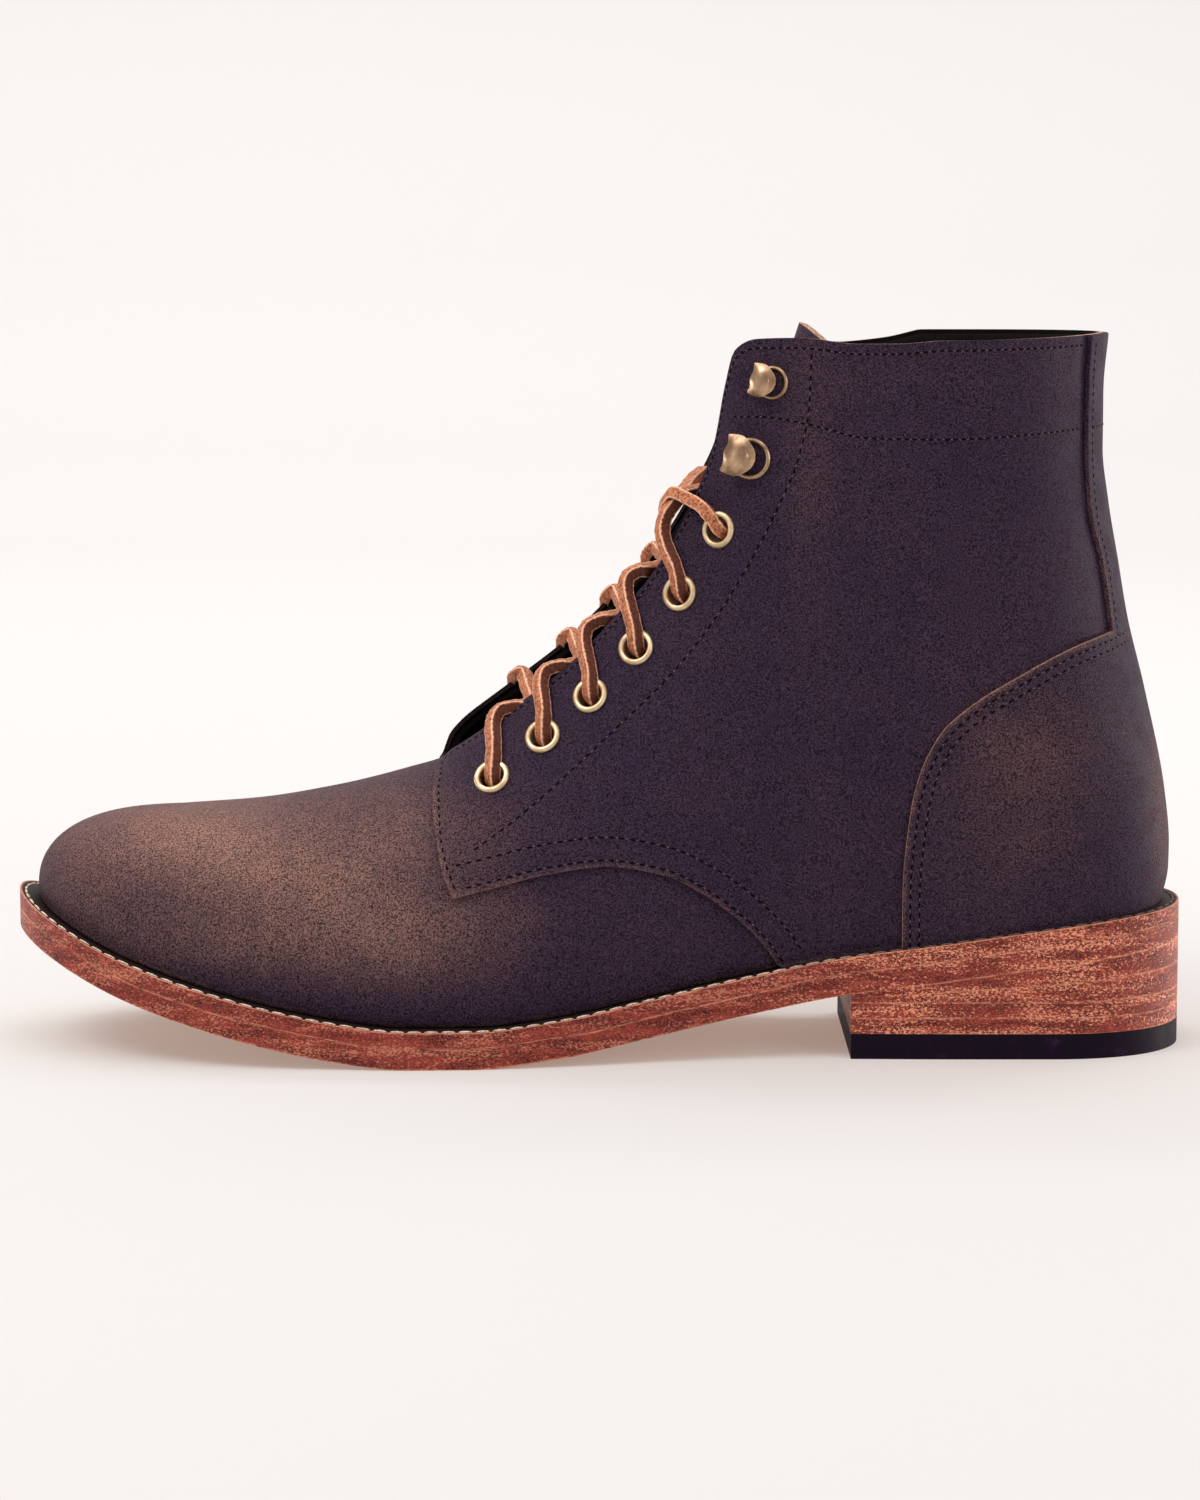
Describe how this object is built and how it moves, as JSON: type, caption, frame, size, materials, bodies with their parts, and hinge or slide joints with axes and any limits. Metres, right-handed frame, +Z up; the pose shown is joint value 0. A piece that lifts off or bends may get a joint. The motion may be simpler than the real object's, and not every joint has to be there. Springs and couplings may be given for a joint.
{
  "type": "lace-up boot",
  "caption": "Left lace-up ankle boot with plain toe, open throat, heel counter, stitched welt, leather sole and stacked heel, brass eyelets, speed hooks and a rawhide lace.",
  "frame": {"origin": "middle of the boot's box, on the floor that its heel and tread stand on", "axes": "+X from toe to heel, +Y towards the inner (medial) side of the left foot, +Z up"},
  "size_m": [0.31, 0.1013, 0.1894],
  "materials": {
    "upper_leather": "oiled nubuck, dark brown",
    "sole_leather": "waxed cut edge, red brown",
    "insole_leather": "smooth, natural",
    "black_rubber": "matt",
    "antique_brass": "aged, satin",
    "rawhide": "raw cut edges, tan"
  },
  "bodies": {
    "root": {"upper": "upper_leather", "counter": "upper_leather", "backstay": "upper_leather", "tongue": "upper_leather", "insole": "insole_leather", "welt": "sole_leather", "outsole": "sole_leather", "heel_lift_1": "sole_leather", "heel_lift_2": "sole_leather", "heel_lift_3": "sole_leather", "heel_lift_4": "sole_leather", "top_lift": "black_rubber", "eyelet_lateral_1": "antique_brass", "eyelet_lateral_2": "antique_brass", "eyelet_lateral_3": "antique_brass", "eyelet_lateral_4": "antique_brass", "eyelet_lateral_5": "antique_brass", "eyelet_lateral_6": "antique_brass", "eyelet_medial_1": "antique_brass", "eyelet_medial_2": "antique_brass", "eyelet_medial_3": "antique_brass", "eyelet_medial_4": "antique_brass", "eyelet_medial_5": "antique_brass", "eyelet_medial_6": "antique_brass", "hook_lateral_1": "antique_brass", "hook_lateral_2": "antique_brass", "hook_medial_1": "antique_brass", "hook_medial_2": "antique_brass", "lace_crossing_1": "rawhide", "lace_crossing_2": "rawhide", "lace_crossing_3": "rawhide", "lace_crossing_4": "rawhide", "lace_crossing_5": "rawhide"}
  },
  "joints": []
}
